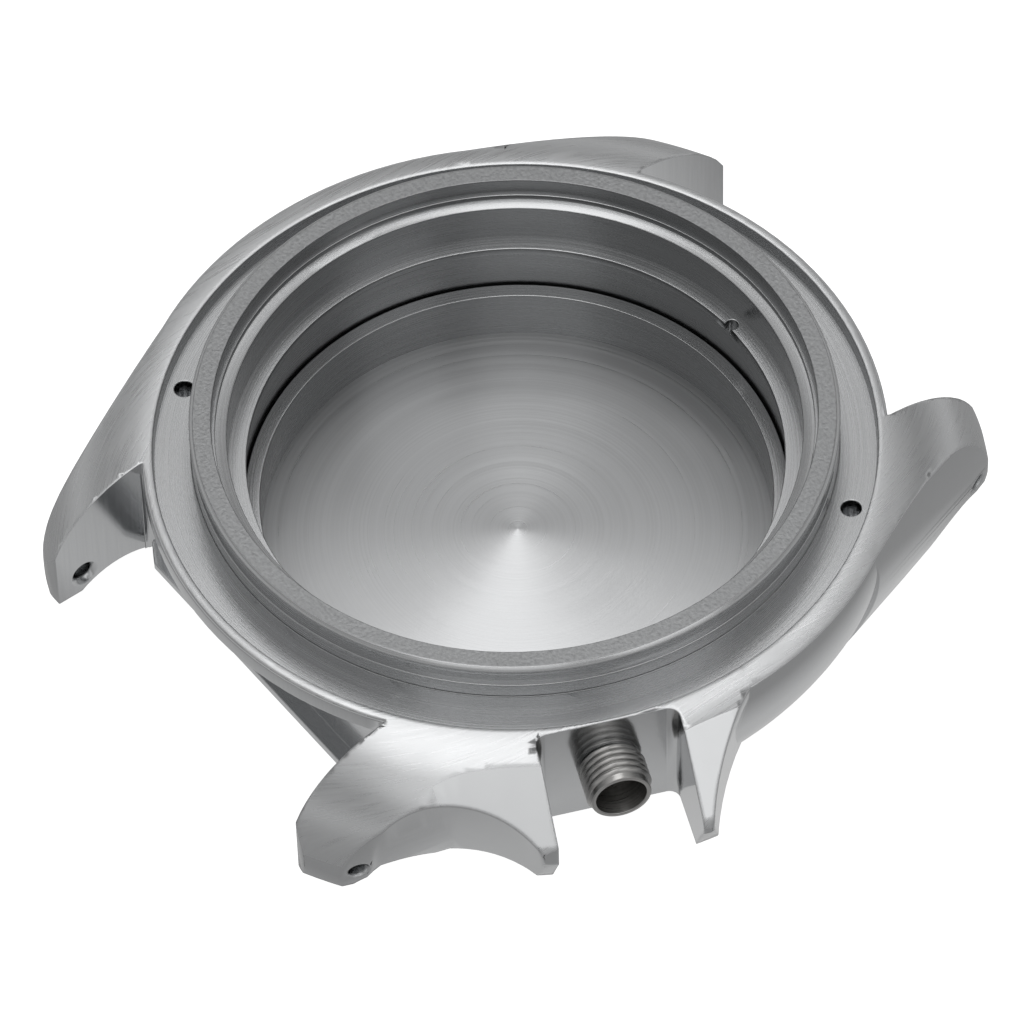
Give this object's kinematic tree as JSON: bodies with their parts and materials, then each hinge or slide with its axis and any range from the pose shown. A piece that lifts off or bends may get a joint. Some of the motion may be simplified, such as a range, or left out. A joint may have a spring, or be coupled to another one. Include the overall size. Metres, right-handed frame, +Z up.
{
  "type": "watch case",
  "caption": "Empty round steel dive watch case with lugs, crown guards, bare bezel neck, open crystal seat, threaded crown tube and screw-in back.",
  "frame": {"origin": "centre of the caseback's outer face", "axes": "+Z up through the crystal seat, +Y to the 12 o'clock lugs, +X to 3 o'clock; the crown axis is 22.5 degrees from +X towards -Y"},
  "size_m": [0.0457, 0.0458, 0.0112],
  "materials": {
    "case_steel": "brushed top, polished sides",
    "back_steel": "circular turned",
    "tube_steel": "machined",
    "gasket_rubber": "matt"
  },
  "bodies": {
    "case": {"mid_case": "case_steel", "crown_tube": "tube_steel", "crown_tube_seal": "gasket_rubber"},
    "gasket_ring": {"caseback_gasket": "gasket_rubber"},
    "back": {"caseback": "back_steel"}
  },
  "joints": [
    {"name": "back_travel", "type": "slide", "parent": "case", "child": "gasket_ring", "axis": [0, 0, -1], "range_m": [0, 0.0015]},
    {"name": "back_turn", "type": "hinge", "parent": "gasket_ring", "child": "back", "pos_m": [0, 0, 0], "axis": [0, 0, -1], "range_deg": [0, 1080]}
  ],
  "couplings": [
    {"joint": "back_travel", "follows": "back_turn", "m_per_rad": 0.000079577}
  ]
}
